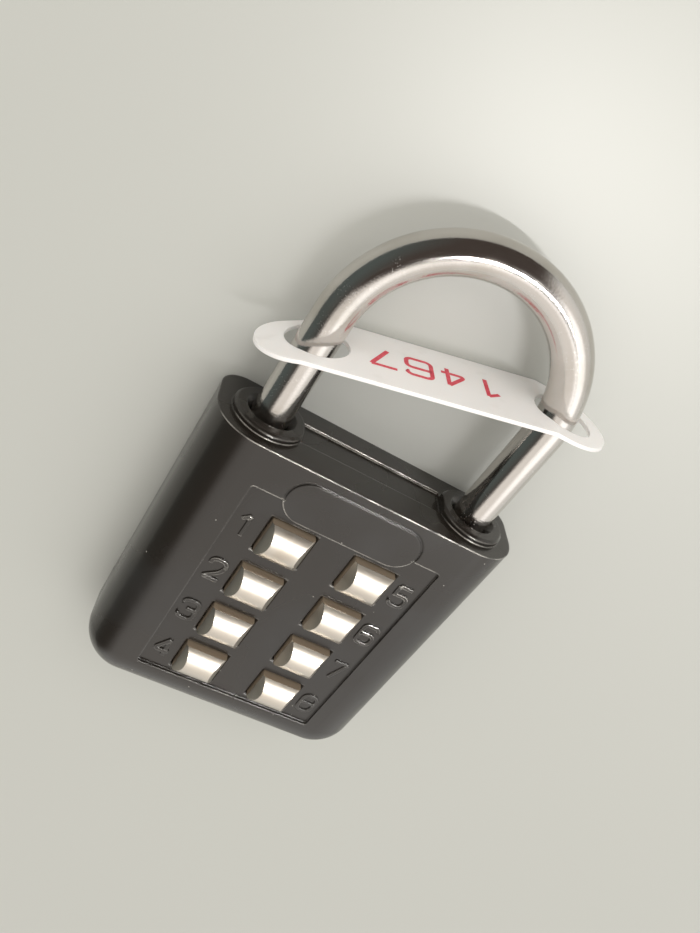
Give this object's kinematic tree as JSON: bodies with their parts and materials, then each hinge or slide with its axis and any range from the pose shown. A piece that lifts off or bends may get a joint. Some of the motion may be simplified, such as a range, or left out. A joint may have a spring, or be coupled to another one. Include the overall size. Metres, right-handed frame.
{
  "type": "push-button combination padlock",
  "caption": "Rectangular padlock with rounded sides, two columns of metal push keys, a chromed bar shackle and a plastic strip tag.",
  "frame": {"origin": "under the middle of the lock as it lies on its flat back, keypad up, shackle shut", "axes": "+X to the right across the keypad, +Y along the lock towards the shackle's bow, +Z out of the keypad"},
  "size_m": [0.0435, 0.0806, 0.0149],
  "materials": {
    "body_black": "semi-gloss",
    "cover_black": "satin",
    "chrome_bar": "polished",
    "key_metal": "satin",
    "tag_white": "matt",
    "plate_brass": "satin",
    "plain_steel": "satin"
  },
  "bodies": {
    "body": {"housing": "body_black", "back_cover": "cover_black", "guide_plate": "plate_brass", "gate_plate": "plate_brass", "stop_pin": "plain_steel", "guide_screws": "plain_steel", "cover_screw": "plain_steel", "key_spring_1": "plain_steel", "key_spring_2": "plain_steel", "key_spring_3": "plain_steel", "key_spring_4": "plain_steel", "key_spring_5": "plain_steel", "key_spring_6": "plain_steel", "key_spring_7": "plain_steel", "key_spring_8": "plain_steel", "shackle_spring": "plain_steel", "latch_spring": "plain_steel"},
    "shackle": {"shackle": "chrome_bar"},
    "latch_bolt": {"latch_bolt": "plain_steel"},
    "tag": {"tag": "tag_white"},
    "key_1": {"key_1": "key_metal"},
    "key_2": {"key_2": "key_metal"},
    "key_3": {"key_3": "key_metal"},
    "key_4": {"key_4": "key_metal"},
    "key_5": {"key_5": "key_metal"},
    "key_6": {"key_6": "key_metal"},
    "key_7": {"key_7": "key_metal"},
    "key_8": {"key_8": "key_metal"}
  },
  "joints": [
    {"name": "shackle_lift", "type": "slide", "parent": "body", "child": "shackle", "axis": [0, 1, 0], "range_m": [0, 0.0104], "deforming": ["shackle_spring"]},
    {"name": "latch_bolt_slide", "type": "slide", "parent": "body", "child": "latch_bolt", "axis": [-1, 0, 0], "range_m": [0, 0.0052], "deforming": ["latch_spring"]},
    {"name": "tag_slide", "type": "slide", "parent": "shackle", "child": "tag", "axis": [0, 1, 0], "range_m": [-0.0085, 0.001]},
    {"name": "key_1_press", "type": "slide", "parent": "body", "child": "key_1", "axis": [0, 0, -1], "range_m": [0, 0.0016], "stiffness_N_per_m": 400, "springref_m": -0.002, "deforming": ["key_spring_1"]},
    {"name": "key_2_press", "type": "slide", "parent": "body", "child": "key_2", "axis": [0, 0, -1], "range_m": [0, 0.0016], "stiffness_N_per_m": 400, "springref_m": -0.002, "deforming": ["key_spring_2"]},
    {"name": "key_3_press", "type": "slide", "parent": "body", "child": "key_3", "axis": [0, 0, -1], "range_m": [0, 0.0016], "stiffness_N_per_m": 400, "springref_m": -0.002, "deforming": ["key_spring_3"]},
    {"name": "key_4_press", "type": "slide", "parent": "body", "child": "key_4", "axis": [0, 0, -1], "range_m": [0, 0.0016], "stiffness_N_per_m": 400, "springref_m": -0.002, "deforming": ["key_spring_4"]},
    {"name": "key_5_press", "type": "slide", "parent": "body", "child": "key_5", "axis": [0, 0, -1], "range_m": [0, 0.0016], "stiffness_N_per_m": 400, "springref_m": -0.002, "deforming": ["key_spring_5"]},
    {"name": "key_6_press", "type": "slide", "parent": "body", "child": "key_6", "axis": [0, 0, -1], "range_m": [0, 0.0016], "stiffness_N_per_m": 400, "springref_m": -0.002, "deforming": ["key_spring_6"]},
    {"name": "key_7_press", "type": "slide", "parent": "body", "child": "key_7", "axis": [0, 0, -1], "range_m": [0, 0.0016], "stiffness_N_per_m": 400, "springref_m": -0.002, "deforming": ["key_spring_7"]},
    {"name": "key_8_press", "type": "slide", "parent": "body", "child": "key_8", "axis": [0, 0, -1], "range_m": [0, 0.0016], "stiffness_N_per_m": 400, "springref_m": -0.002, "deforming": ["key_spring_8"]}
  ],
  "couplings": [
    {"joint": "latch_bolt_slide", "follows": "shackle_lift", "ratio": 0.5}
  ]
}
